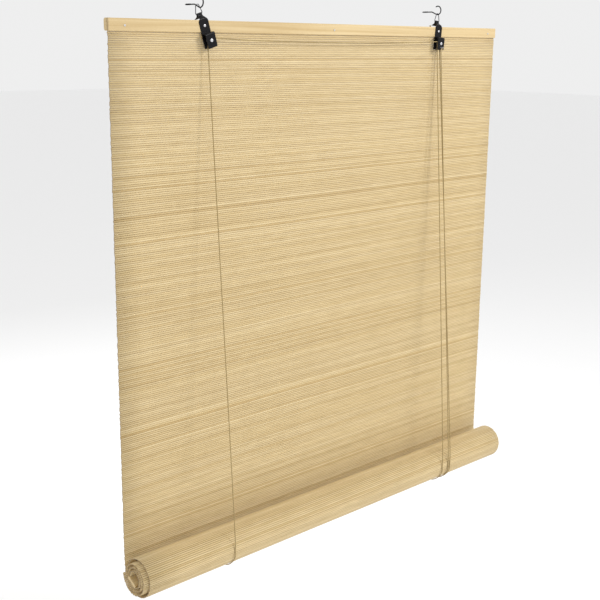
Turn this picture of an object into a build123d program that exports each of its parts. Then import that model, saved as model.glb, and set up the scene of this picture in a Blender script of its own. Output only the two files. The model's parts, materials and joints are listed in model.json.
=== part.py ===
"""Bamboo roll up blind with cord lift. Millimetres, +Z up, -Y towards the room.
The origin is the middle of the head rail's back face."""
import os
from math import cos, hypot, pi, radians, sin, tan

from build123d import *

# Blind
blind_width = 1000.0
hanging_drop = 943.1  # from the rail's middle to the roll's axis
rail_height = 20.0
back_slat_depth = 9.0
back_slat_round = 4.0
front_slat_depth = 3.2
slat_edge_round = 0.6
sheet_thickness = 1.8
sheet_top_inset = 0.6
roll_radius = 38.0
roll_pitch = 6.4
roll_half_turns = 8
turn_slip = 9.0  # how far the inner turns stand out at the left end
bottom_slat_width = 24.0
bottom_slat_depth = 6.0
bottom_slat_round = 1.5
bottom_slat_lean = 32.0  # degrees round the core
seat_gap = 0.1
soft_gap = 0.3

# Rail nails
nail_places = [-470.0, 0.0, 473.0]
nail_rise = -1.3
nail_radius = 0.7
nail_head_radius = 1.8
nail_head_height = 0.7
nail_depth = 5.0
nail_clearance = 0.05

# Hangers
left_hanger_x = -310.0
right_hanger_x = 305.0
left_hanger_tilt = -16.0
right_hanger_tilt = 6.0
screw_rise = 1.2
metal = 1.0
strap_width = 20.0
neck_width = 10.0
shoulder_low = 8.5
shoulder_high = 14.6
strap_bend_rise = 12.6
neck_base_rise = 16.4
neck_rise = 19.9  # the ring bar's centre over the strap screw
tab_reach = 6.4
tab_rise = 11.4
axle_drop = 25.0
cage_half_height = 12.5
cage_gap = 8.0
cage_bend = 1.6
plate_corner = 2.0
pin_clearance = 0.05
strap_screw_radius = 1.2
strap_screw_head_radius = 2.5
strap_screw_head_height = 1.1
strap_screw_depth = 2.8
axle_radius = 1.5
axle_head_radius = 3.1
axle_head_height = 1.2
axle_tail_height = 1.0

# Rings and screw hooks
ring_wire = 0.8
ring_half_width = 7.6
ring_top_half_width = 2.9
ring_height = 16.0
ring_corner = 2.2
hook_wire = 1.15
hook_bend = 8.5
hook_tip_angle = 56.0
hook_end_angle = 292.0
hook_slope_run = 13.0
hook_knee = 6.0
hook_shank = 24.0
hook_point = 3.0
left_ring_seat = 7.0  # along the hook's slope, from the end of its bend

# Pulleys and cord lock
wheel_width = 7.4
wheel_radius = 4.9
groove_radius = 3.0
groove_width = 2.2
cord_offset = 4.0  # cord centre line round a wheel
groove_spread = 3.6
lock_drop = 7.9
lock_radius = 2.4
lock_teeth = 16
lock_pin_radius = 1.0
lock_travel_x = -1.0
lock_travel_z = -2.6
lock_side_gap = 0.1
anvil_radius = 1.5
anvil_end_radius = 1.0
notch_width = 4.0
notch_height = 3.0

# Cords
cord_radius = 0.9
cord_hole = 0.3
cord_tail = 12.3
cord_step = 0.1
left_cord_x = -309.0
right_cord_x = 290.0
pull_cord_xs = [310.0, 316.0]
pull_knot_x = 294.0
pull_knot_rise = 400.0
knot_radius = 3.0
anchor_knot_radius = 2.0
straight_run = 40.0
transfer_sag = [(-200.0, 3.6), (-70.0, 5.0), (80.0, 5.2), (205.0, 3.4)]  # x, and how far it sags

# Derived places
half_width = blind_width / 2
rail_top = rail_height / 2
sheet_back = -back_slat_depth
sheet_front = sheet_back - sheet_thickness
rail_front = sheet_front - front_slat_depth
roll_z = -hanging_drop
roll_y = sheet_front - soft_gap - roll_radius
strap_front = rail_front - metal
cage_back_inner = strap_front - metal
cage_front_inner = cage_back_inner - cage_gap
wheel_y = (cage_back_inner + cage_front_inner) / 2
bar_y = rail_front / 2
loop_front = roll_y - roll_radius - soft_gap - cord_radius
loop_back = sheet_back + soft_gap + cord_radius
loop_radius = (loop_back - loop_front) / 2
loop_y = (loop_back + loop_front) / 2
anchor_y = -back_slat_depth / 2


def hanger_place(x, tilt):
    return Pos(x, 0, screw_rise) * Rot(0, tilt, 0)


def on_hanger(x, tilt, side, rise):
    """Row x and z of a point that lies side and rise from the strap screw, in the hanger's plane."""
    turn = radians(tilt)
    return x + side * cos(turn) + rise * sin(turn), screw_rise - side * sin(turn) + rise * cos(turn)


def save(solid, name):
    export_step(solid, f"parts/{name}.step")


def rod(radius, start_y, end_y, x=0.0, z=0.0):
    """A round bar along Y."""
    plane = Plane(origin=(x, start_y, z), z_dir=(0, -1, 0))
    return extrude(plane * Circle(radius), start_y - end_y)


def bent_strip(points, radii, width):
    """Sheet metal strip: a flat section swept along a bent line in the YZ plane."""
    path = FilletPolyline([(0, y, z) for y, z in points], radius=radii)
    section = Plane(origin=path @ 0, x_dir=(1, 0, 0), z_dir=path % 0) * Rectangle(width, metal)
    return sweep(section, path=path)


def round_cord(path, radius=cord_radius):
    section = Plane(origin=path @ 0, z_dir=path % 0) * Circle(radius)
    return sweep(section, path=path)


def route(points):
    """Straight runs with tangent arcs as large as the runs allow."""
    radii = []
    for before, here, after in zip(points, points[1:], points[2:]):
        first = Vector(*here) - Vector(*before)
        second = Vector(*after) - Vector(*here)
        half_turn = radians(first.get_angle(second)) / 2
        radii.append(0.45 * min(first.length, second.length) / tan(half_turn))
    print("cord arcs", [round(radius) for radius in radii])
    return FilletPolyline(points, radius=radii)


def report_cord(name, solid, path):
    section = pi * cord_radius**2
    print(f"{name}: length {path.length:.0f}, volume over section x length {solid.volume / section / path.length:.4f}")


# Head rail and the hanging sheet
def drilled(solid):
    """Cuts the blind holes of the strap screws and the nails."""
    for x in (left_hanger_x, right_hanger_x):
        depth_end = sheet_back + strap_screw_depth + pin_clearance
        solid -= rod(strap_screw_radius + pin_clearance, depth_end, rail_front - 1, x, screw_rise)
    for x in nail_places:
        depth_end = sheet_back + nail_depth + nail_clearance
        solid -= rod(nail_radius + nail_clearance, depth_end, rail_front - 1, x, nail_rise)
    return solid


def head_rail_back():
    slat = Box(blind_width, back_slat_depth, rail_height)
    slat = Pos(0, sheet_back + back_slat_depth / 2, 0) * slat
    back_edges = slat.edges().filter_by(Axis.X).group_by(Axis.Y)[-1]
    slat = fillet(back_edges, back_slat_round)
    slat = drilled(slat)
    for x in (left_cord_x, right_cord_x):
        slat -= Pos(x, anchor_y, 0) * Cylinder(cord_radius + cord_hole, rail_height * 2)
    return slat


def head_rail_front():
    slat = Box(blind_width, front_slat_depth, rail_height)
    slat = Pos(0, rail_front + front_slat_depth / 2, 0) * slat
    front_edges = slat.edges().filter_by(Axis.X).group_by(Axis.Y)[0]
    slat = fillet(front_edges, slat_edge_round)
    return drilled(slat)


def sheet_hanging():
    top = rail_top - sheet_top_inset
    sheet = Box(blind_width, sheet_thickness, top - roll_z)
    sheet = Pos(0, sheet_back - sheet_thickness / 2, (top + roll_z) / 2) * sheet
    return drilled(sheet)


def rail_nails():
    nails = []
    for x in nail_places:
        shank = rod(nail_radius, sheet_back + nail_depth, rail_front, x, nail_rise)
        head = rod(nail_head_radius, rail_front, rail_front - nail_head_height, x, nail_rise)
        nails.append(shank + head)
    return Compound(nails)


# Roll
def half_turn(index):
    """One half turn of the sheet: even ones run under the roll, odd ones over it."""
    outer = roll_radius - index * roll_pitch / 2
    inner = outer - sheet_thickness
    under = index % 2 == 0
    centre = roll_y if under else roll_y - roll_pitch / 2
    start = -half_width if index < 2 else -half_width - turn_slip
    plane = Plane(origin=(start, centre, roll_z), x_dir=(0, 1, 0), z_dir=(1, 0, 0))
    ring = Circle(outer) - Circle(inner)
    side = -1 if under else 1
    mask = Pos(0, side * outer) * Rectangle(4 * outer, 2 * outer)
    return extrude(plane * (ring & mask), blind_width)


def sheet_roll():
    roll = half_turn(0)
    for index in range(1, roll_half_turns):
        roll += half_turn(index)
    return roll


def bottom_slat():
    """The sheet's end slat lies in the core, its two lower corners on the last turn under it."""
    core = roll_radius - (roll_half_turns - 2) * roll_pitch / 2 - sheet_thickness - seat_gap
    corner = bottom_slat_width / 2 - bottom_slat_round
    reach = (core - bottom_slat_round) ** 2 - corner**2
    sink = reach**0.5 - bottom_slat_depth / 2 + bottom_slat_round
    turn = Rot(0, 0, bottom_slat_lean)
    section = turn * Pos(0, -sink) * RectangleRounded(bottom_slat_width, bottom_slat_depth, bottom_slat_round)
    plane = Plane(origin=(-half_width - turn_slip, roll_y, roll_z), x_dir=(0, 1, 0), z_dir=(1, 0, 0))
    return extrude(plane * section, blind_width)


# Hangers, in their own upright frame: x and z from the strap screw
def bracket():
    front = rail_front - metal / 2
    fold = ring_wire + pin_clearance + metal / 2
    foot = -axle_drop - cage_half_height
    points = [
        (front, foot),
        (front, strap_bend_rise),
        (bar_y - fold, neck_base_rise),
        (bar_y - fold, neck_rise),
    ]
    front_ply = bent_strip(points, [3.0, 3.0], strap_width)
    points = [
        (bar_y + fold, neck_rise),
        (bar_y + fold, neck_base_rise),
        (bar_y + tab_reach, tab_rise),
    ]
    tab = bent_strip(points, [2.0], strap_width)
    tube_plane = Plane(origin=(-strap_width / 2, bar_y, neck_rise), x_dir=(0, 1, 0), z_dir=(1, 0, 0))
    half = Pos(0, fold) * Rectangle(4 * fold, 2 * fold)
    eye = (Circle(fold + metal / 2) - Circle(fold - metal / 2)) & half
    strip = front_ply + extrude(tube_plane * eye, strap_width) + tab
    half_strap = strap_width / 2
    half_neck = neck_width / 2
    top = neck_rise + 2 * fold
    outline = FilletPolyline(
        [(-half_strap, foot), (-half_strap, shoulder_low), (-half_neck, shoulder_high), (-half_neck, top),
         (half_neck, top), (half_neck, shoulder_high), (half_strap, shoulder_low), (half_strap, foot)],
        radius=[4.0, 2.0, 0.3, 0.3, 2.0, 4.0],
    )
    outline += Line((half_strap, foot), (-half_strap, foot))
    face = make_face(outline.edges())
    prism = extrude(Plane(origin=(0, 10, 0), x_dir=(1, 0, 0), z_dir=(0, -1, 0)) * face, 60)
    strip &= prism
    strip -= rod(strap_screw_radius + pin_clearance, 0, rail_front - 4)
    strip -= rod(axle_radius + pin_clearance, 0, rail_front - 4, 0, -axle_drop)
    return strip


def cage():
    back = cage_back_inner + metal / 2
    front = cage_front_inner - metal / 2
    foot = -axle_drop - cage_half_height
    top = -axle_drop + cage_half_height - metal / 2
    points = [(back, foot), (back, top), (front, top), (front, foot)]
    body = bent_strip(points, [cage_bend, cage_bend], strap_width)
    lower = body.edges().filter_by(Axis.Y).group_by(Axis.Z)[0]
    body = fillet(lower, plate_corner)
    body -= rod(axle_radius + pin_clearance, 0, front - 4, 0, -axle_drop)
    return body


def axle_rivet():
    shank = rod(axle_radius, rail_front, cage_front_inner - metal, 0, -axle_drop)
    tail = rod(axle_head_radius, rail_front + axle_tail_height, rail_front, 0, -axle_drop)
    tail = chamfer(tail.edges().group_by(Axis.Y)[-1], 0.4)
    head_face = cage_front_inner - metal
    head = rod(axle_head_radius, head_face, head_face - axle_head_height, 0, -axle_drop)
    head = fillet(head.edges().group_by(Axis.Y)[0], axle_head_height * 0.8)
    return shank + tail + head


def strap_screw():
    shank = rod(strap_screw_radius, sheet_back + strap_screw_depth, strap_front)
    head = rod(strap_screw_head_radius, strap_front, strap_front - strap_screw_head_height)
    head = fillet(head.edges().group_by(Axis.Y)[0], strap_screw_head_height * 0.8)
    return shank + head


def wheel(grooves):
    body = rod(wheel_radius, wheel_y + wheel_width / 2, wheel_y - wheel_width / 2, 0, -axle_drop)
    body -= rod(axle_radius + pin_clearance, wheel_y + wheel_width, wheel_y - wheel_width, 0, -axle_drop)
    for y in grooves:
        ring = rod(wheel_radius + 1, y + groove_width / 2, y - groove_width / 2, 0, -axle_drop)
        ring -= rod(groove_radius, y + groove_width, y - groove_width, 0, -axle_drop)
        body -= ring
    return body


def hanging_ring():
    corners = [
        (0, 0), (ring_half_width, 0), (ring_top_half_width, ring_height), (0, ring_height),
    ]
    points = [(x, bar_y, neck_rise + z) for x, z in corners]
    side = round_cord(FilletPolyline(points, radius=ring_corner), ring_wire)
    return side + mirror(side, about=Plane.YZ)


def hook_wire_path(x, top_z, along):
    """Tip, bend, slope and level shank in the plane x. The ring's top wire lies in the bend,
    or along the slope where along is above nought."""
    rest = hook_wire + ring_wire + pin_clearance
    end = radians(hook_end_angle)
    slope = (-sin(end), cos(end))
    if along > 0:
        seat = (bar_y + rest * slope[1], top_z - rest * slope[0])
        bend_end = (seat[0] - along * slope[0], seat[1] - along * slope[1])
        centre = (bend_end[0] - hook_bend * cos(end), bend_end[1] - hook_bend * sin(end))
    else:
        centre = (bar_y, top_z - rest + hook_bend)
        bend_end = (centre[0] + hook_bend * cos(end), centre[1] + hook_bend * sin(end))

    def at(angle):
        turn = radians(angle)
        return x, centre[0] + hook_bend * cos(turn), centre[1] + hook_bend * sin(turn)

    bend = ThreePointArc(at(hook_tip_angle), at((hook_tip_angle + hook_end_angle) / 2), at(hook_end_angle))
    knee = (bend_end[0] + hook_slope_run * slope[0], bend_end[1] + hook_slope_run * slope[1])
    tail = FilletPolyline(
        [at(hook_end_angle), (x, knee[0], knee[1]), (x, knee[0] + hook_shank, knee[1])], radius=hook_knee
    )
    return bend, tail, knee


def screw_hook(x, top_z, along):
    bend, tail, knee = hook_wire_path(x, top_z, along)
    wire = round_cord(bend, hook_wire) + round_cord(tail, hook_wire)
    shank_end = knee[0] + hook_shank
    point_plane = Plane(origin=(x, shank_end, knee[1]), z_dir=(0, 1, 0))
    point = extrude(point_plane * Circle(hook_wire), hook_point, taper=16)
    return wire + point


# Cord lock in the right cage, in row coordinates
def lock_roller(x, z):
    half = cage_gap / 2 - 0.2
    teeth = Plane(origin=(x, wheel_y + half, z), z_dir=(0, -1, 0)) * RegularPolygon(lock_radius, lock_teeth)
    body = extrude(teeth, 2 * half)
    pin_half = cage_gap / 2 + metal * 0.85
    return body + rod(lock_pin_radius, wheel_y + pin_half, wheel_y - pin_half, x, z)


def lock_slot(x, z):
    run = hypot(lock_travel_x, lock_travel_z)
    radius = lock_pin_radius + pin_clearance
    far_x = x + lock_travel_x
    far_z = z + lock_travel_z
    slot = rod(radius, 0, cage_front_inner - 5, x, z) + rod(radius, 0, cage_front_inner - 5, far_x, far_z)
    side = (-lock_travel_z / run * radius, lock_travel_x / run * radius)
    corners = [(x + side[0], z + side[1]), (far_x + side[0], far_z + side[1]),
               (far_x - side[0], far_z - side[1]), (x - side[0], z - side[1])]
    face = make_face(Polyline([(a, 0, b) for a, b in corners], close=True).edges())
    return slot + extrude(face, cage_front_inner - 5, dir=(0, 1, 0))


def anvil_pin(x, z):
    half = cage_gap / 2 - pin_clearance
    end = cage_gap / 2 + metal
    body = rod(anvil_radius, wheel_y + half, wheel_y - half, x, z)
    return body + rod(anvil_end_radius, wheel_y + end, wheel_y - end, x, z)


# Cords
def transfer_cord(left_axle, right_axle):
    left_x, left_z = left_axle
    right_x, right_z = right_axle
    right_y = wheel_y - groove_spread / 2
    edge = cord_offset * 0.7071
    first = Line((left_x - cord_offset, wheel_y, left_z - cord_tail), (left_x - cord_offset, wheel_y, left_z))
    over_left = ThreePointArc(
        first @ 1, (left_x - edge, wheel_y, left_z + edge), (left_x, wheel_y, left_z + cord_offset)
    )
    top = (left_z + right_z) / 2 + cord_offset
    middle = (wheel_y + right_y) / 2
    run = [over_left @ 1, (left_x + 8, wheel_y, left_z + cord_offset)]
    run += [(x, middle, top - sag) for x, sag in transfer_sag]
    run += [(right_x - 8, right_y, right_z + cord_offset), (right_x, right_y, right_z + cord_offset)]
    across = route([tuple(p) for p in run])
    over_right = ThreePointArc(
        across @ 1, (right_x + edge, right_y, right_z + edge), (right_x + cord_offset, right_y, right_z)
    )
    last = Line(over_right @ 1, (right_x + cord_offset, right_y, right_z - cord_tail))
    return Wire(first.edges() + over_left.edges() + across.edges() + over_right.edges() + last.edges())


def right_cord_top(right_axle):
    x, z = right_axle
    y = wheel_y + groove_spread / 2
    up = Line((x - cord_offset, y, z - cord_tail), (x - cord_offset, y, z))
    over = ThreePointArc(up @ 1, (x, y, z + cord_offset), (x + cord_offset, y, z))
    down = Line(over @ 1, (x + cord_offset, y, z - cord_tail))
    return Wire(up.edges() + over.edges() + down.edges())


def front_run(start, x, low):
    return route([start, (x, loop_front, roll_z + straight_run), (x, loop_front, roll_z + low)])


def loop_under(x):
    return ThreePointArc(
        (x, loop_front, roll_z), (x, loop_y, roll_z - loop_radius), (x, loop_back, roll_z)
    )


def back_run(x):
    """From just over the loop, up behind the sheet, through the rail to its knot."""
    path = route([
        (x, loop_back, roll_z + soft_gap),
        (x, loop_back, roll_z + straight_run),
        (x, anchor_y, -rail_top - straight_run),
        (x, anchor_y, rail_top + anchor_knot_radius / 2),
    ])
    cord = round_cord(path)
    report_cord("back run", cord, path)
    return cord + Pos(x, anchor_y, rail_top + anchor_knot_radius) * Sphere(anchor_knot_radius)


def pull_cord(start, x, end_x):
    front = front_run(start, x, 0)
    loop = loop_under(x)
    knot_y = sheet_back + soft_gap + knot_radius
    end_z = roll_z + pull_knot_rise - knot_radius
    behind = route([
        (x, loop_back, roll_z),
        (x, loop_back, roll_z + straight_run),
        (end_x, knot_y, end_z),
    ])
    path = Wire(front.edges() + loop.edges() + behind.edges())
    cord = round_cord(path)
    report_cord("pull cord", cord, path)
    return cord


def build():
    os.makedirs("parts", exist_ok=True)
    save(head_rail_back(), "head_rail_back_slat")
    save(head_rail_front(), "head_rail_front_slat")
    save(rail_nails(), "rail_nails")
    save(sheet_hanging(), "woven_sheet_hanging")
    save(sheet_roll(), "woven_sheet_roll")
    save(bottom_slat(), "bottom_slat")

    left = (left_hanger_x, left_hanger_tilt)
    right = (right_hanger_x, right_hanger_tilt)
    left_axle = on_hanger(*left, 0, -axle_drop)
    right_axle = on_hanger(*right, 0, -axle_drop)
    lock_x = right_axle[0] + cord_offset - cord_radius - lock_radius - lock_side_gap
    anvil_x = right_axle[0] + cord_offset + cord_radius + anvil_radius + lock_side_gap
    lock_z = right_axle[1] - lock_drop

    for side, (x, tilt), along in (("left", left, left_ring_seat), ("right", right, 0.0)):
        place = hanger_place(x, tilt)
        save(place * bracket(), f"bracket_{side}")
        save(place * strap_screw(), f"strap_screw_{side}")
        save(place * axle_rivet(), f"axle_rivet_{side}")
        save(place * hanging_ring(), f"hanging_ring_{side}")
        ring_x, ring_z = on_hanger(x, tilt, 0, neck_rise + ring_height)
        save(screw_hook(ring_x, ring_z, along), f"screw_hook_{side}")

    save(hanger_place(*left) * cage(), "pulley_cage_left")
    save(hanger_place(*left) * wheel([wheel_y]), "pulley_wheel_left")
    lock_cage = hanger_place(*right) * cage()
    lock_cage -= lock_slot(lock_x, lock_z)
    lock_cage -= rod(anvil_end_radius + pin_clearance, 0, cage_front_inner - 5, anvil_x, lock_z)
    foot_x, foot_z = on_hanger(*right, 0, -axle_drop - cage_half_height)
    notch = Pos(right_axle[0] + cord_offset, cage_front_inner - metal / 2, foot_z)
    lock_cage -= notch * Box(notch_width, 2 * metal, 2 * notch_height)
    save(lock_cage, "cord_lock_cage_right")
    groove_ys = [wheel_y - groove_spread / 2, wheel_y + groove_spread / 2]
    save(hanger_place(*right) * wheel(groove_ys), "pulley_wheel_right")
    save(lock_roller(lock_x, lock_z), "cord_lock_roller")
    save(anvil_pin(anvil_x, lock_z), "cord_lock_pin")

    path = transfer_cord(left_axle, right_axle)
    cord = round_cord(path)
    report_cord("transfer cord", cord, path)
    save(cord, "transfer_cord")
    path = right_cord_top(right_axle)
    cord = round_cord(path)
    report_cord("right cord top", cord, path)
    save(cord, "right_cord_over_wheel")

    tail = cord_tail + cord_step
    front_y = wheel_y - groove_spread / 2
    rear_y = wheel_y + groove_spread / 2
    left_start = (left_axle[0] - cord_offset, wheel_y, left_axle[1] - tail)
    right_start = (right_axle[0] - cord_offset, rear_y, right_axle[1] - tail)
    for side, start, x in (("left", left_start, left_cord_x), ("right", right_start, right_cord_x)):
        path = front_run(start, x, soft_gap)
        cord = round_cord(path)
        report_cord("front run", cord, path)
        save(cord, f"{side}_cord_front")
        loop = loop_under(x)
        save(round_cord(loop), f"{side}_cord_under_roll")
        save(back_run(x), f"{side}_cord_back")

    ends = (("inner", pull_cord_xs[0], -1.1, front_y), ("outer", pull_cord_xs[1], 1.1, rear_y))
    for name, x, step, start_y in ends:
        start = (right_axle[0] + cord_offset, start_y, right_axle[1] - tail)
        save(pull_cord(start, x, pull_knot_x + step), f"pull_cord_{name}")
    knot_y = sheet_back + soft_gap + knot_radius
    save(Pos(pull_knot_x, knot_y, roll_z + pull_knot_rise) * Sphere(knot_radius), "pull_cord_knot")
    print("left axle", left_axle, "right axle", right_axle, "lock", lock_x, anvil_x, lock_z)
    print("ring bar left", on_hanger(*left, 0, neck_rise), "right", on_hanger(*right, 0, neck_rise))


if __name__ == "__main__":
    build()
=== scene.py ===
import json
import math

import bpy
import numpy as np
from mathutils import Matrix, Vector


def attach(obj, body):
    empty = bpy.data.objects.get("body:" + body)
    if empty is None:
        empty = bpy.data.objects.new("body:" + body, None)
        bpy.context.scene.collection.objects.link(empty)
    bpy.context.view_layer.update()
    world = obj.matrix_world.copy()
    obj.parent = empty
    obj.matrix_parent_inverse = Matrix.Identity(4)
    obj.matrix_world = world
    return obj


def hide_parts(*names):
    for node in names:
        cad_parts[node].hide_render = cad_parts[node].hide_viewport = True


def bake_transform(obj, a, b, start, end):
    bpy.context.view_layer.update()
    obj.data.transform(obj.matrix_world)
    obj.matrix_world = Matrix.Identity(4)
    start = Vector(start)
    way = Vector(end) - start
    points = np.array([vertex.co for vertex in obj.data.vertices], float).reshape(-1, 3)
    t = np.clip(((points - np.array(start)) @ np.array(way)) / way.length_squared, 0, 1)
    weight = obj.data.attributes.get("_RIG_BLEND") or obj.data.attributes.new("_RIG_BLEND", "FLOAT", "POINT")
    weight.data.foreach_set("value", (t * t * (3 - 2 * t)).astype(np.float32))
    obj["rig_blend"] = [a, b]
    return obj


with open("model.json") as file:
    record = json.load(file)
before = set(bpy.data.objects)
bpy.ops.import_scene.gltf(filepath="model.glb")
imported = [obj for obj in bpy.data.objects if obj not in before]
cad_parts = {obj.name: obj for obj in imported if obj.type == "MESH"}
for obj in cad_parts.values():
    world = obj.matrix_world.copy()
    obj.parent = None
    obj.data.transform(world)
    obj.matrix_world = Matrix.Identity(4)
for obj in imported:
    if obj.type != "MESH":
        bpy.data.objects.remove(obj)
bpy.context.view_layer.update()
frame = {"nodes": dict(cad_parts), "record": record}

nodes = frame["nodes"]
print("frame loaded:", len(nodes), "CAD nodes")


# Materials: grain, tone and wear all come from noise on the piece itself; the bamboo sticks also get painted
# shade along the grooves between them
def newMaterial(name, roughness, metallic=0.0):
    material = bpy.data.materials.new(name)
    material.use_nodes = True
    shader = material.node_tree.nodes["Principled BSDF"]
    shader.inputs["Roughness"].default_value = roughness
    shader.inputs["Metallic"].default_value = metallic
    return material, material.node_tree, shader


def addNoise(tree, coordinate, stretch, scale, detail=4.0):
    mapping = tree.nodes.new("ShaderNodeMapping")
    mapping.inputs["Scale"].default_value = stretch
    noise = tree.nodes.new("ShaderNodeTexNoise")
    noise.inputs["Scale"].default_value = scale
    noise.inputs["Detail"].default_value = detail
    tree.links.new(coordinate, mapping.inputs["Vector"])
    tree.links.new(mapping.outputs["Vector"], noise.inputs["Vector"])
    return noise.outputs["Fac"]


def addRamp(tree, factor, stops):
    ramp = tree.nodes.new("ShaderNodeValToRGB")
    elements = ramp.color_ramp.elements
    elements[0].position, elements[0].color = stops[0][0], (*stops[0][1], 1)
    elements[1].position, elements[1].color = stops[-1][0], (*stops[-1][1], 1)
    for place, color in stops[1:-1]:
        elements.new(place).color = (*color, 1)
    tree.links.new(factor, ramp.inputs["Fac"])
    return ramp.outputs["Color"]


def addMix(tree, factor, first, second, blend="MIX"):
    mix = tree.nodes.new("ShaderNodeMix")
    mix.data_type = "RGBA"
    mix.blend_type = blend
    for value, socket in ((factor, 0), (first, 6), (second, 7)):
        if isinstance(value, bpy.types.NodeSocket):
            tree.links.new(value, mix.inputs[socket])
        elif socket:
            mix.inputs[socket].default_value = (*value, 1)
        else:
            mix.inputs[socket].default_value = value
    return mix.outputs[2]


def addBump(tree, shader, height, strength, distance):
    bump = tree.nodes.new("ShaderNodeBump")
    bump.inputs["Strength"].default_value = strength
    bump.inputs["Distance"].default_value = distance
    tree.links.new(height, bump.inputs["Height"])
    tree.links.new(bump.outputs["Normal"], shader.inputs["Normal"])


def attributeOf(tree, name):
    attribute = tree.nodes.new("ShaderNodeAttribute")
    attribute.attribute_name = name
    return attribute.outputs["Fac"]


stickLook = {
    "pale": (0.765, 0.62, 0.36), "middle": (0.695, 0.54, 0.28), "dark": (0.56, 0.395, 0.17),
    # groove colour: painted shade in the grooves between neighbouring sticks, partly also the sticks' own
    # darker edges
    "groove": (0.28, 0.165, 0.055), "roughness": 0.62,
}


def bambooMaterial():
    material, tree, shader = newMaterial("splitBamboo", stickLook["roughness"])
    along = tree.nodes.new("ShaderNodeUVMap").outputs["UV"]
    grain = addNoise(tree, along, (26.0, 3.0, 1.0), 1.0)
    blotch = addNoise(tree, along, (5.0, 0.35, 1.0), 1.0, 2.0)
    tone = addRamp(tree, attributeOf(tree, "stickTone"),
                   [(0.0, stickLook["dark"]), (0.3, stickLook["middle"]), (1.0, stickLook["pale"])])
    streaks = addRamp(tree, grain, [(0.3, (0.86, 0.84, 0.80)), (0.7, (1.0, 1.0, 1.0))])
    patches = addRamp(tree, blotch, [(0.3, (0.92, 0.90, 0.86)), (0.7, (1.0, 1.0, 1.0))])
    color = addMix(tree, 1.0, tone, streaks, "MULTIPLY")
    color = addMix(tree, 1.0, color, patches, "MULTIPLY")
    # painted shade: the groove colour goes onto each stick's long edges, where the sticks meet and shade
    # falls in the groove
    color = addMix(tree, attributeOf(tree, "stickEdge"), color, stickLook["groove"])
    tree.links.new(color, shader.inputs["Base Color"])
    addBump(tree, shader, grain, 0.3, 0.0002)
    return material


woodLook = {"light": (0.68, 0.525, 0.285), "dark": (0.54, 0.385, 0.175), "roughness": 0.5}


def railMaterial():
    material, tree, shader = newMaterial("planedWood", woodLook["roughness"])
    place = tree.nodes.new("ShaderNodeTexCoord").outputs["Object"]
    grain = addNoise(tree, place, (4.0, 160.0, 220.0), 1.0, 6.0)
    cloud = addNoise(tree, place, (3.0, 20.0, 20.0), 1.0, 2.0)
    figure = addRamp(tree, grain, [(0.3, woodLook["dark"]), (0.62, woodLook["light"])])
    shade = addRamp(tree, cloud, [(0.3, (0.88, 0.86, 0.82)), (0.7, (1.0, 1.0, 1.0))])
    color = addMix(tree, 1.0, figure, shade, "MULTIPLY")
    tree.links.new(color, shader.inputs["Base Color"])
    addBump(tree, shader, grain, 0.25, 0.0003)
    return material


def worn(name, light, dark, low, high, metallic, scale, bump, gloss=0.5):
    material, tree, shader = newMaterial(name, low, metallic)
    shader.inputs["Specular IOR Level"].default_value = gloss
    place = tree.nodes.new("ShaderNodeTexCoord").outputs["Object"]
    fine = addNoise(tree, place, (1.0, 1.0, 1.0), scale)
    color = addRamp(tree, fine, [(0.35, dark), (0.65, light)])
    rough = addRamp(tree, fine, [(0.3, (low,) * 3), (0.7, (high,) * 3)])
    tree.links.new(color, shader.inputs["Base Color"])
    tree.links.new(rough, shader.inputs["Roughness"])
    addBump(tree, shader, fine, bump, 0.0001)
    return material


cordLook = {"light": (0.46, 0.35, 0.16), "dark": (0.25, 0.17, 0.065), "strands": 5.0, "pitch": 900.0}


def cordMaterial():
    material, tree, shader = newMaterial("braidedCord", 0.85)
    along = tree.nodes.new("ShaderNodeUVMap").outputs["UV"]
    mapping = tree.nodes.new("ShaderNodeMapping")
    mapping.inputs["Scale"].default_value = (cordLook["pitch"], cordLook["strands"], 1.0)
    tree.links.new(along, mapping.inputs["Vector"])
    wave = tree.nodes.new("ShaderNodeTexWave")
    wave.bands_direction = "DIAGONAL"
    wave.inputs["Scale"].default_value = 1.0
    wave.inputs["Distortion"].default_value = 0.6
    tree.links.new(mapping.outputs["Vector"], wave.inputs["Vector"])
    color = addRamp(tree, wave.outputs["Fac"], [(0.2, cordLook["dark"]), (0.8, cordLook["light"])])
    tree.links.new(color, shader.inputs["Base Color"])
    addBump(tree, shader, wave.outputs["Fac"], 0.6, 0.0002)
    return material


finishes = {
    "dull_ring": worn("dullRing", light=(0.20, 0.20, 0.21), dark=(0.09, 0.09, 0.095), low=0.38, high=0.55,
                      metallic=1.0, scale=700.0, bump=0.2),
    "bamboo_sheet": bambooMaterial(),
    "pale_wood": railMaterial(),
    "black_steel": worn("blackPaint", light=(0.008, 0.007, 0.008), dark=(0.003, 0.003, 0.004), low=0.26,
                        high=0.42, metallic=0.0, scale=900.0, bump=0.15, gloss=0.14),
    "bright_steel": worn("brightZinc", light=(0.82, 0.82, 0.83), dark=(0.62, 0.62, 0.64), low=0.18,
                         high=0.34, metallic=1.0, scale=700.0, bump=0.2),
    "wheel_plastic": worn("mouldedWheel", light=(0.09, 0.09, 0.09), dark=(0.05, 0.05, 0.05), low=0.4,
                          high=0.6, metallic=0.0, scale=500.0, bump=0.2),
    "lift_cord": cordMaterial(),
}
print("materials made")


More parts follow.
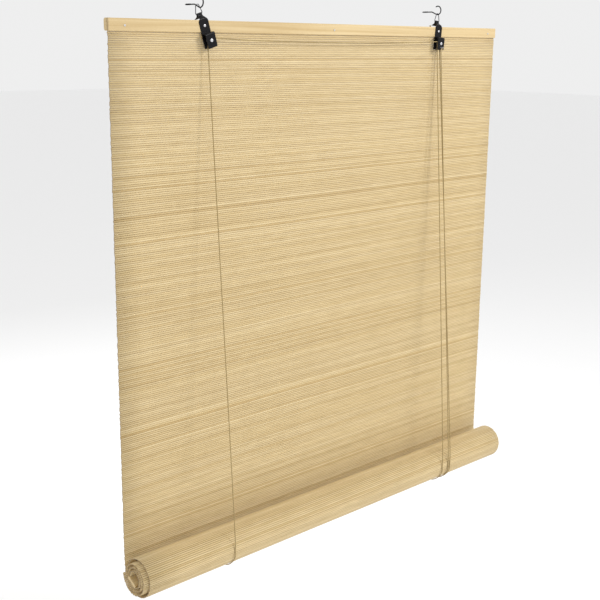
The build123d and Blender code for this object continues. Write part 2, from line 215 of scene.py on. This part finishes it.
# The stick sheet. Lengths in metres; the section is a flattened octagon
sheetSize = {
    "pitch": 0.0035, "halfAcross": 0.00169, "halfDeep": 0.0009, "width": 1.0, "endSpread": 0.0006,
    "top": 0.0094, "railFoot": -0.0100, "rollZ": -0.9431, "sheetY": -0.0099,
    "rollY": -0.0491, "rollRadius": 0.038, "rollStep": 0.0032, "halfTurns": 8, "slip": 0.009,
    "flatLength": 1.603, "lean": 0.0016, "leanHeight": 0.06,
}
stickHabit = {
    # edge and edgeSpread: mean and spread of each stick's painted groove shade
    "tone": 0.62, "toneSpread": 0.2, "darkShare": 0.07, "darkTone": 0.35, "edge": 0.62, "edgeSpread": 0.22,
    "slowWave": 0.00022, "quickWave": 0.00016, "lift": 0.00012,
}
# third value of each corner: weight of the painted groove shade, full at the two long edges that meet the
# next stick
sectionShape = [(-1, -0.3, 1.0), (-0.62, -1, 0.12), (0.62, -1, 0.12), (1, -0.3, 1.0),
                (1, 0.3, 1.0), (0.62, 1, 0.12), (-0.62, 1, 0.12), (-1, 0.3, 1.0)]


def makeSticks(name, sticks, stations, seed):
    draw = np.random.RandomState(seed)
    count, sides = len(sticks), len(sectionShape)
    centre = np.array([s["centre"] for s in sticks])
    across = np.array([s["across"] for s in sticks])
    deep = np.stack([-across[:, 1], across[:, 0]], 1)
    start = np.array([s["start"] for s in sticks]) + draw.uniform(-1, 1, count) * sheetSize["endSpread"]
    end = np.array([s["start"] for s in sticks]) + sheetSize["width"]
    end = end + draw.uniform(-1, 1, count) * sheetSize["endSpread"]
    tone = np.clip(draw.normal(stickHabit["tone"], stickHabit["toneSpread"], count), 0, 1)
    for index in np.flatnonzero(draw.uniform(size=count) < stickHabit["darkShare"]):
        tone[index] *= stickHabit["darkTone"]  # now and then a dark stick
    # each stick's strength of painted groove shade
    edge = np.clip(draw.normal(stickHabit["edge"], stickHabit["edgeSpread"], count), 0.2, 1)
    share = np.linspace(0, 1, stations + 1)
    x = start[:, None] + (end - start)[:, None] * share
    row = np.arange(count)[:, None]
    wave = stickHabit["slowWave"] * np.sin(x * 9 + row * 0.045)
    wave = wave + stickHabit["quickWave"] * np.sin(x * 23 - row * 0.11 + 1.3)
    lift = stickHabit["lift"] * np.sin(x * 14 + draw.uniform(0, 6.28, count)[:, None])
    section = np.array(sectionShape)
    a = wave[:, :, None] + section[None, None, :, 0] * sheetSize["halfAcross"]
    d = lift[:, :, None] + section[None, None, :, 1] * sheetSize["halfDeep"]
    y = centre[:, 0, None, None] + across[:, 0, None, None] * a + deep[:, 0, None, None] * d
    z = centre[:, 1, None, None] + across[:, 1, None, None] * a + deep[:, 1, None, None] * d
    points = np.stack([np.broadcast_to(x[:, :, None], y.shape), y, z], -1).reshape(-1, 3)
    faces, uvs = [], []
    for n in range(count):
        base = n * (stations + 1) * sides
        for m in range(stations):
            for k in range(sides):
                here, there = base + m * sides + k, base + (m + 1) * sides + k
                turn = (k + 1) % sides - k
                faces.append((here, there, there + turn, here + turn))
                u0, u1, v0, v1 = x[n, m], x[n, m + 1], n + k / sides, n + (k + 1) / sides
                uvs += [(u0, v0), (u1, v0), (u1, v1), (u0, v1)]
        for m, order in ((0, range(sides)), (stations, reversed(range(sides)))):
            faces.append([base + m * sides + k for k in order])
            uvs += [(x[n, m], n + 0.5)] * sides
    mesh = bpy.data.meshes.new(name)
    mesh.from_pydata(points.tolist(), [], faces)
    mesh.uv_layers.new(name="UVMap").data.foreach_set("uv", np.array(uvs).ravel())
    for label, perVertex in (
        ("stickTone", np.repeat(tone, (stations + 1) * sides)),
        # this attribute carries the painted groove shade to the material
        ("stickEdge", (edge[:, None, None] * np.broadcast_to(section[:, 2], y.shape)).ravel()),
    ):
        mesh.attributes.new(label, "FLOAT", "POINT").data.foreach_set("value", perVertex.astype(np.float32))
    mesh.update()
    piece = finishPiece(name, mesh, "bamboo_sheet")
    mesh.materials.append(endGrain)
    capped = np.tile([0] * (stations * sides) + [1, 1], count)
    mesh.polygons.foreach_set("material_index", capped.astype(np.int32))
    flat = np.tile([True] * (stations * sides) + [False, False], count)
    mesh.polygons.foreach_set("use_smooth", flat)
    return piece


endLook = {"light": (0.40, 0.29, 0.17), "dark": (0.20, 0.135, 0.07), "roughness": 0.8}


def stickEndMaterial():
    material, tree, shader = newMaterial("stickEndGrain", endLook["roughness"])
    place = tree.nodes.new("ShaderNodeTexCoord").outputs["Object"]
    pores = addNoise(tree, place, (1.0, 1.0, 1.0), 1400.0)
    color = addRamp(tree, pores, [(0.35, endLook["dark"]), (0.65, endLook["light"])])
    tree.links.new(color, shader.inputs["Base Color"])
    addBump(tree, shader, pores, 0.4, 0.0002)
    return material


endGrain = stickEndMaterial()


def finishPiece(name, mesh, slotName):
    piece = bpy.data.objects.new(name, mesh)
    bpy.context.scene.collection.objects.link(piece)
    mesh.materials.append(finishes[slotName])
    mesh.polygons.foreach_set("use_smooth", [True] * len(mesh.polygons))
    return piece


def stretchWithRoll(piece, frontTop, backTop, ring=1):
    # the whole length shortens evenly as the roll rises, front and back runs from their own tops;
    # a cord moves ring by ring, and its front run stays outside the raised roll
    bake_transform(piece, "root", "cord_loops", (0, 0, frontTop), (0, 0, sheetSize["rollZ"]))
    data = piece.data
    co = np.array([v.co for v in data.vertices]).reshape(-1, ring, 3).mean(axis=1)
    inFront = co[:, 1] < sheetSize["sheetY"]
    top = np.where(inFront, frontTop, backTop)
    share = (top - co[:, 2]) / (top - sheetSize["rollZ"])
    if ring > 1:
        over = np.sqrt(np.clip(cordSize["loopRadius"] ** 2 - (co[:, 1] - cordSize["loopY"]) ** 2, 0, None))
        clear = (sheetSize["rollZ"] + cordSize["fullRise"] + over - co[:, 2]) / cordSize["fullRise"]
        share = np.where(inFront, np.maximum(share, clear), share)
    share = np.repeat(np.clip(share, 0, 1), ring)
    data.attributes["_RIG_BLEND"].data.foreach_set("value", share.astype(np.float32))


def hangingSticks():
    run = sheetSize["top"] - sheetSize["rollZ"]
    count = int(run / sheetSize["pitch"])
    sticks = []
    for n in range(count):
        z = sheetSize["top"] - (n + 0.5) * run / count
        # leans on to the roll at the foot
        near = max(0.0, 1 - (z - sheetSize["rollZ"]) / sheetSize["leanHeight"])
        sticks.append({"centre": (sheetSize["sheetY"] - sheetSize["lean"] * near * near, z),
                       "across": (0.0, 1.0), "start": -sheetSize["width"] / 2})
    return sticks


def rolledSticks():
    sticks = []
    for turn in range(sheetSize["halfTurns"]):
        under = turn % 2 == 0
        radius = sheetSize["rollRadius"] - turn * sheetSize["rollStep"] - sheetSize["halfDeep"]
        centreY = sheetSize["rollY"] - (0 if under else sheetSize["rollStep"])
        count = int(math.pi * radius / sheetSize["pitch"])
        for n in range(count):
            # an under half goes from the back, down and forward; an over half comes back over the top
            angle = (0 if under else math.pi) - math.pi * (n + 0.5) / count
            y = centreY + radius * math.cos(angle)
            z = sheetSize["rollZ"] + radius * math.sin(angle)
            start = -sheetSize["width"] / 2 - (0 if turn < 2 else sheetSize["slip"])
            sticks.append({"centre": (y, z), "across": (-math.sin(angle), math.cos(angle)), "start": start})
    return sticks


hangingSheet = makeSticks("wovenSheetHanging", hangingSticks(), stations=18, seed=11)
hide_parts("woven_sheet_hanging")
stretchWithRoll(hangingSheet, sheetSize["railFoot"], sheetSize["railFoot"])
rolledSheet = makeSticks("wovenSheetRoll", rolledSticks(), stations=12, seed=12)
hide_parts("woven_sheet_roll")
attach(rolledSheet, "roll")
print("sticks made")


# Cords: control points as in the CAD source, in metres
cordSize = {
    "radius": 0.0009, "sides": 10, "loopFront": -0.0883, "loopBack": -0.0078, "loopRadius": 0.04025,
    "loopY": -0.04805, "runTop": -0.9031, "frontTop": -0.0361, "anchorY": -0.0045,
    "fullRise": 0.82, "pullTop": -0.01915,  # pullTop gives the pull cords their knot's own ratio
}
wheelPlace = {"left": (-0.303109, -0.022832), "right": (0.302387, -0.023663), "radius": 0.004}


def arcCorners(radius, fromAngle, toAngle, steps):
    # corners of the polygon that touches the arc: a quadratic spline on them follows it
    stepAngle = (toAngle - fromAngle) / steps
    reach = radius / math.cos(stepAngle / 2)
    angles = [fromAngle + stepAngle * (i + 0.5) for i in range(steps)]
    return [(reach * math.cos(a), reach * math.sin(a)) for a in angles]


def underRoll(x):
    return [(x, cordSize["loopY"] + p[0], sheetSize["rollZ"] + p[1])
            for p in arcCorners(cordSize["loopRadius"], math.pi, 2 * math.pi, 4)]


def splinePath(name, points):
    curve = bpy.data.curves.new(name + "Path", "CURVE")
    curve.dimensions = "3D"
    spline = curve.splines.new("NURBS")
    spline.points.add(len(points) - 1)
    for target, point in zip(spline.points, points):
        target.co = (*point, 1)
    spline.order_u = 3
    spline.use_endpoint_u = True
    spline.resolution_u = 14
    holder = bpy.data.objects.new(name + "Path", curve)
    bpy.context.scene.collection.objects.link(holder)
    bpy.context.view_layer.update()
    line = bpy.data.meshes.new_from_object(holder.evaluated_get(bpy.context.evaluated_depsgraph_get()))
    path = np.array([v.co for v in line.vertices]).reshape(-1, 3)
    bpy.data.objects.remove(holder)
    bpy.data.curves.remove(curve)
    bpy.data.meshes.remove(line)
    keep = np.r_[True, np.linalg.norm(np.diff(path, axis=0), axis=1) > 1e-6]
    return path[keep]


def tubeMesh(name, path, radius, sides, closed=False):
    count = len(path)
    tangent = np.roll(path, -1, 0) - np.roll(path, 1, 0) if closed else np.gradient(path, axis=0)
    tangent /= np.linalg.norm(tangent, axis=1)[:, None]
    normal = np.cross(tangent[0], (1.0, 0.0, 0.0) if abs(tangent[0][0]) < 0.9 else (0.0, 1.0, 0.0))
    points = []
    travelled = np.r_[0, np.cumsum(np.linalg.norm(np.diff(path, axis=0), axis=1))]
    for i in range(count):
        normal = normal - tangent[i] * normal.dot(tangent[i])
        normal /= np.linalg.norm(normal)
        side = np.cross(tangent[i], normal)
        for k in range(sides):
            turn = 2 * math.pi * k / sides
            points.append(path[i] + radius * (math.cos(turn) * normal + math.sin(turn) * side))
    faces, uvs = [], []
    for i in range(count if closed else count - 1):
        j = (i + 1) % count
        for k in range(sides):
            nextK = (k + 1) % sides
            faces.append((i * sides + k, i * sides + nextK, j * sides + nextK, j * sides + k))
            u0 = travelled[i]
            u1 = travelled[i] + np.linalg.norm(path[j] - path[i])
            uvs += [(u0, k / sides), (u0, (k + 1) / sides), (u1, (k + 1) / sides), (u1, k / sides)]
    if not closed:
        for order in (list(reversed(range(sides))), [(count - 1) * sides + k for k in range(sides)]):
            faces.append(order)
            uvs += [(0.0, 0.0)] * sides
    mesh = bpy.data.meshes.new(name)
    mesh.from_pydata([tuple(p) for p in points], [], faces)
    mesh.uv_layers.new(name="UVMap").data.foreach_set("uv", np.array(uvs, float).ravel())
    mesh.update()
    return mesh


def makeCord(name, points):
    path = splinePath(name, points)
    mesh = tubeMesh(name, path, cordSize["radius"], cordSize["sides"])
    length = float(np.linalg.norm(np.diff(path, axis=0), axis=1).sum())
    print(name, "length", round(length, 3))
    return finishPiece(name, mesh, "lift_cord"), path.tolist()


knotSize = {"anchor": 0.0022, "pull": 0.003, "steps": 72, "sides": 8, "thickness": 0.9}


def makeKnot(name, centre, size):
    # a trefoil of the cord itself, pulled tight
    turns = np.linspace(0, 2 * math.pi, knotSize["steps"], endpoint=False)
    loop = np.stack([np.sin(turns) + 2 * np.sin(2 * turns), np.cos(turns) - 2 * np.cos(2 * turns),
                     -np.sin(3 * turns)], 1)
    loop *= (size - cordSize["radius"]) / 3.0
    mesh = tubeMesh(name, loop + np.array(centre), cordSize["radius"] * knotSize["thickness"],
                    knotSize["sides"], True)
    return finishPiece(name, mesh, "lift_cord")


def roundRoll(start, x):
    # down the front, under the roll and a little way up the back
    front, back = cordSize["loopFront"], cordSize["loopBack"]
    points = [start, (x, front, cordSize["runTop"]), (x, front, sheetSize["rollZ"])]
    points += underRoll(x)
    return points + [(x, back, sheetSize["rollZ"]), (x, back, cordSize["runTop"])]


liftCords = {
    "left": {"x": -0.309, "startY": -0.020}, "right": {"x": 0.290, "startY": -0.0182},
    "startDrop": 0.0124, "backTop": -0.0500, "end": 0.0110, "knotZ": 0.0120,
}


def makeLiftCord(side):
    x, startY, axle = liftCords[side]["x"], liftCords[side]["startY"], wheelPlace[side]
    start = (axle[0] - wheelPlace["radius"], startY, axle[1] - liftCords["startDrop"])
    points = roundRoll(start, x)
    points += [(x, cordSize["anchorY"], liftCords["backTop"]), (x, cordSize["anchorY"], liftCords["end"])]
    cord, path = makeCord(side + "LiftCord", points)
    knot = makeKnot(side + "AnchorKnot", (x, cordSize["anchorY"], liftCords["knotZ"]), knotSize["anchor"])
    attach(knot, "root")
    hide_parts(f"{side}_cord_front", f"{side}_cord_under_roll", f"{side}_cord_back")
    stretchWithRoll(cord, cordSize["frontTop"], sheetSize["railFoot"], cordSize["sides"])


makeLiftCord("left")
makeLiftCord("right")

pullCords = {
    "Inner": {"x": 0.310, "startY": -0.0218, "endX": 0.2929},
    "Outer": {"x": 0.316, "startY": -0.0182, "endX": 0.2951},
    "startX": 0.306387, "startZ": -0.036063, "endY": -0.0057, "endZ": -0.5461,
    "knot": (0.294, -0.0057, -0.5431),
}
pullKnot = makeKnot("pullCordKnot", pullCords["knot"], knotSize["pull"])
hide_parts("pull_cord_knot")
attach(pullKnot, "pull_knot")


def makePullCord(name):
    x = pullCords[name]["x"]
    start = (pullCords["startX"], pullCords[name]["startY"], pullCords["startZ"])
    points = roundRoll(start, x) + [(pullCords[name]["endX"], pullCords["endY"], pullCords["endZ"])]
    cord, path = makeCord("pullCord" + name, points)
    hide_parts("pull_cord_" + name.lower())
    stretchWithRoll(cord, cordSize["frontTop"], cordSize["pullTop"], cordSize["sides"])


makePullCord("Inner")
makePullCord("Outer")

underRail = {
    "leftY": -0.020, "leftEnd": -0.03513, "rightY": -0.0218, "rightEnd": -0.035963, "overY": -0.0182,
    "route": [(-0.2951, -0.020, -0.01883), (-0.200, -0.0209, -0.02285), (-0.070, -0.0209, -0.02425),
              (0.080, -0.0209, -0.02445), (0.205, -0.0209, -0.02265), (0.2944, -0.0218, -0.01966)],
}


def roundWheel(side, y, fromAngle, toAngle, steps):
    centre = wheelPlace[side]
    return [(centre[0] + p[0], y, centre[1] + p[1])
            for p in arcCorners(wheelPlace["radius"], fromAngle, toAngle, steps)]


def makeWheelCord(name, node, points):
    cord, path = makeCord(name, points)
    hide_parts(node)
    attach(cord, "root")
    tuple(points[0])


left, right, reach = wheelPlace["left"], wheelPlace["right"], wheelPlace["radius"]
points = [(left[0] - reach, underRail["leftY"], underRail["leftEnd"])]
points += roundWheel("left", underRail["leftY"], math.pi, math.pi / 2, 2) + underRail["route"]
points += roundWheel("right", underRail["rightY"], math.pi / 2, 0, 2)
points += [(right[0] + reach, underRail["rightY"], underRail["rightEnd"])]
makeWheelCord("transferCord", "transfer_cord", points)

points = [(right[0] - reach, underRail["overY"], underRail["rightEnd"])]
points += roundWheel("right", underRail["overY"], math.pi, 0, 4)
points += [(right[0] + reach, underRail["overY"], underRail["rightEnd"])]
makeWheelCord("rightCordOverWheel", "right_cord_over_wheel", points)
print("cords made")


# Screw thread at the end of each hook's shank
threadSize = {
    "length": 0.014, "pitch": 0.0013, "rootRadius": 0.0011, "wire": 0.00032,
    "steps": 18, "sides": 6, "taper": 8, "tip": 0.3,
}
for mount in frame["record"]["mounts"]:
    if not mount["name"].startswith("hook_shank"):
        continue
    side = mount["name"].split("_")[-1]
    x, shankEnd, z = mount["pos_m"]
    shankEnd += mount["dims"]["length_mm"] / 2000
    turns = threadSize["length"] / threadSize["pitch"]
    along = np.linspace(0, 1, int(turns * threadSize["steps"]))
    angle = along * turns * 2 * math.pi
    radius = threadSize["rootRadius"] * np.minimum(1, along * threadSize["taper"] + threadSize["tip"])
    path = np.stack([x + radius * np.cos(angle), shankEnd - threadSize["length"] * (1 - along),
                     z + radius * np.sin(angle)], 1)
    coil = tubeMesh(side + "HookThread", path, threadSize["wire"], threadSize["sides"])
    thread = finishPiece(side + "HookThread", coil, "black_steel")
    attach(thread, side + "_hook")
print("hook threads made")


# The CAD pieces that stay
for part in frame["record"]["subparts"]:
    node = nodes[part["node"]]
    if node.hide_render:
        continue
    node.data.materials.clear()
    finish = "dull_ring" if part["node"].startswith("hanging_ring") else part["material_slot"]
    node.data.materials.append(finishes[finish])
print("CAD pieces finished")


# Floor, light and camera
stageLook = {"floorZ": -1.58, "floorSize": 60.0, "floor": (0.95, 0.95, 0.95), "ambient": 0.86}
corner = stageLook["floorSize"] / 2
mesh = bpy.data.meshes.new("paleFloor")
mesh.from_pydata([(sx * corner, sy * corner, stageLook["floorZ"]) for sx, sy in
                  ((-1, -1), (1, -1), (1, 1), (-1, 1))], [], [(0, 1, 2, 3)])
floor = bpy.data.objects.new("paleFloor", mesh)
bpy.context.scene.collection.objects.link(floor)
floorMaterial, tree, shader = newMaterial("paleGround", 0.9)
shader.inputs["Base Color"].default_value = (*stageLook["floor"], 1)
mesh.materials.append(floorMaterial)

world = bpy.data.worlds.new("studio")
world.use_nodes = True
world.node_tree.nodes["Background"].inputs["Color"].default_value = (1, 1, 1, 1)
world.node_tree.nodes["Background"].inputs["Strength"].default_value = stageLook["ambient"]
bpy.context.scene.world = world
bpy.context.scene.view_settings.view_transform = "Standard"


def areaLight(name, place, aim, size, power):
    light = bpy.data.lights.new(name, "AREA")
    light.size = size
    light.energy = power
    holder = bpy.data.objects.new(name, light)
    bpy.context.scene.collection.objects.link(holder)
    holder.location = place
    holder.rotation_euler = (Vector(aim) - Vector(place)).to_track_quat("-Z", "Y").to_euler()


lampLook = {
    "keyLight": {"place": (1.6, -2.6, 1.5), "aim": (0, 0, -0.5), "size": 0.8, "power": 62.0},
    "fillLight": {"place": (-2.6, -1.6, 0.8), "aim": (0, 0, -0.5), "size": 2.0, "power": 8.0},
    "backLight": {"place": (0.6, 2.6, 1.2), "aim": (0, 0, -0.4), "size": 2.0, "power": 30.0},
}
for name, lamp in lampLook.items():
    areaLight(name, lamp["place"], lamp["aim"], lamp["size"], lamp["power"])

cameraPlace = {
    "at": (-1.4395, -1.4645, -0.0282), "azimuth": -43.11, "down": 13.72, "roll": 0.589,
    "lens": 62.8, "sensor": 36.0,
}
azimuth, down = math.radians(cameraPlace["azimuth"]), math.radians(cameraPlace["down"])
roll = math.radians(cameraPlace["roll"])
forward = Vector((-math.sin(azimuth) * math.cos(down), math.cos(azimuth) * math.cos(down), -math.sin(down)))
flatRight = Vector((math.cos(azimuth), math.sin(azimuth), 0))
flatUp = flatRight.cross(forward)
sideways = math.cos(roll) * flatRight + math.sin(roll) * flatUp
upwards = -math.sin(roll) * flatRight + math.cos(roll) * flatUp
turn = Matrix((sideways, upwards, -forward)).transposed().to_4x4()
cameraData = bpy.data.cameras.new("viewCamera")
cameraData.sensor_width = cameraPlace["sensor"]
cameraData.lens = cameraPlace["lens"]
camera = bpy.data.objects.new("viewCamera", cameraData)
bpy.context.scene.collection.objects.link(camera)
camera.matrix_world = Matrix.Translation(cameraPlace["at"]) @ turn
bpy.context.scene.camera = camera
print("stage made")
